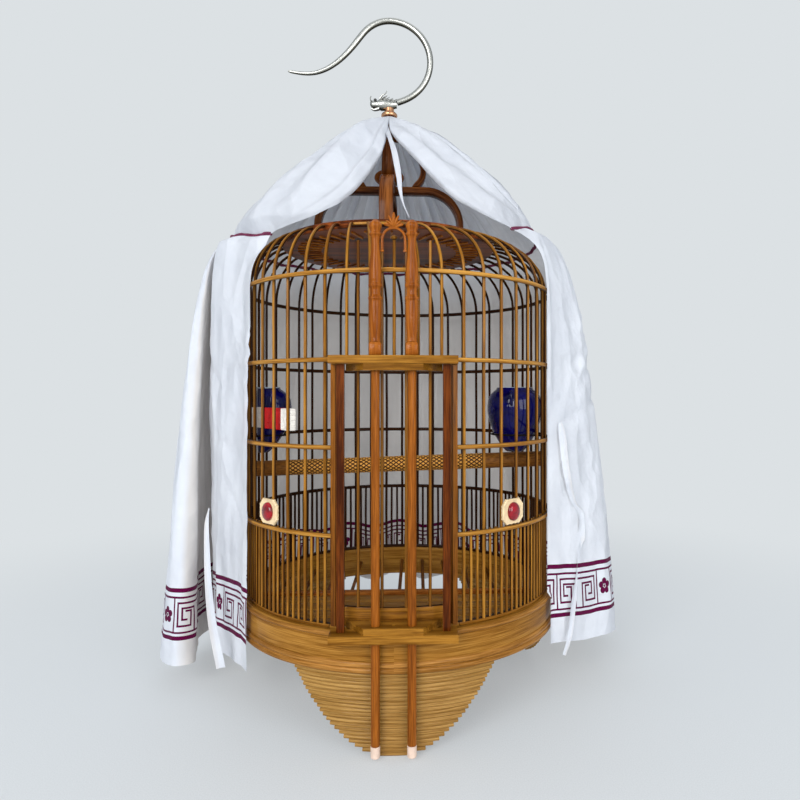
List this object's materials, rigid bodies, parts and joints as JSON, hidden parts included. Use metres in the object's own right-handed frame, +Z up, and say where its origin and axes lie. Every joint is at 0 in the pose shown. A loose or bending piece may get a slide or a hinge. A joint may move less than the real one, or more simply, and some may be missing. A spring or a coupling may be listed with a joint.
{
  "type": "bird cage",
  "caption": "Round bamboo bird cage with a domed top, carved feet, lifting gate, swivel hook, perch, glazed cups and a cotton cover.",
  "frame": {"origin": "on the ground under the middle of the bounding box of the cage with its cover; the cage's own axis lies 40 mm in front of it", "axes": "+Z up; -Y is the door side, which faces whoever looks at the door; +X is to the right of the door seen from outside"},
  "size_m": [0.5338, 0.454, 0.7433],
  "materials": {
    "bamboo": "satin varnished bamboo",
    "bamboo_pale": "satin varnished bamboo",
    "bamboo_dark": "satin stained bamboo",
    "carved_wood": "satin varnish",
    "steel": "polished",
    "copper": "brushed",
    "glaze": "gloss glaze",
    "bone": "semi-matte, carved",
    "red_resin": "gloss",
    "gem": "gloss",
    "clear_cap": "satin",
    "dark_wire": "dark satin",
    "cotton": "matt woven cotton"
  },
  "bodies": {
    "cage": {"base_ring": "bamboo_pale", "claw_arches": "bamboo_dark", "claw_bulb": "bamboo_dark", "claw_cap": "bamboo_dark", "cover": "cotton", "cup_clip_bar": "red_resin", "cup_clip_end_back": "bone", "cup_clip_end_front": "bone", "cup_ring_left": "dark_wire", "cup_ring_right": "dark_wire", "door_centre_rod": "bamboo", "door_plank_bottom": "bamboo_pale", "door_plank_top": "bamboo_pale", "door_post_inner_left": "bamboo", "door_post_inner_right": "bamboo", "door_post_outer_left": "bamboo_dark", "door_post_outer_right": "bamboo_dark", "door_sill": "bamboo", "floor_grid": "carved_wood", "foot_back_left": "bamboo_pale", "foot_back_right": "bamboo_pale", "foot_front": "bamboo_pale", "hoop_door_top": "bamboo_pale", "hoop_middle": "bamboo_pale", "hoop_shoulder": "bamboo_pale", "hoop_waist": "bamboo_pale", "plate_gem_left": "gem", "plate_gem_right": "gem", "plate_left": "bone", "plate_right": "bone", "rim_bead_bottom": "bamboo_pale", "rim_bead_top": "bamboo_pale", "top_disc": "bamboo_dark", "wires_above_door": "bamboo", "wires_back": "bamboo", "wires_back_left": "bamboo", "wires_back_right": "bamboo", "wires_front_left": "bamboo", "wires_front_right": "bamboo", "wires_left": "bamboo", "wires_right": "bamboo"},
    "door_bars": {"door_bar_left": "carved_wood", "door_bar_right": "carved_wood", "door_bar_cap_left": "clear_cap", "door_bar_cap_right": "clear_cap", "door_column_left": "carved_wood", "door_column_right": "carved_wood", "door_arch": "carved_wood"},
    "gate": {"gate": "bamboo_pale"},
    "hook": {"hook_rod": "steel", "hook_ornament": "steel", "hook_collar": "copper", "hook_shaft": "steel", "hook_knob": "carved_wood"},
    "perch": {"perch": "bamboo_pale"},
    "cup_left": {"cup_left": "glaze"},
    "cup_right": {"cup_right": "glaze"}
  },
  "joints": [
    {"name": "door_bars_lift", "type": "slide", "parent": "cage", "child": "door_bars", "axis": [0, 0, 1], "range_m": [0, 0.33]},
    {"name": "gate_lift", "type": "slide", "parent": "cage", "child": "gate", "axis": [0, 0, 1], "range_m": [0, 0.215]},
    {"name": "hook_swivel", "type": "hinge", "parent": "cage", "child": "hook", "pos_m": [-0.011, -0.04, 0.63], "axis": [0, 0, 1], "continuous": true},
    {"name": "perch_slide", "type": "slide", "parent": "cage", "child": "perch", "axis": [0, 0, 1], "range_m": [-0.035, 0.018]},
    {"name": "cup_left_lift", "type": "slide", "parent": "cage", "child": "cup_left", "axis": [0, 0, 1], "range_m": [0, 0.025]},
    {"name": "cup_right_lift", "type": "slide", "parent": "cage", "child": "cup_right", "axis": [0, 0, 1], "range_m": [0, 0.025]}
  ]
}
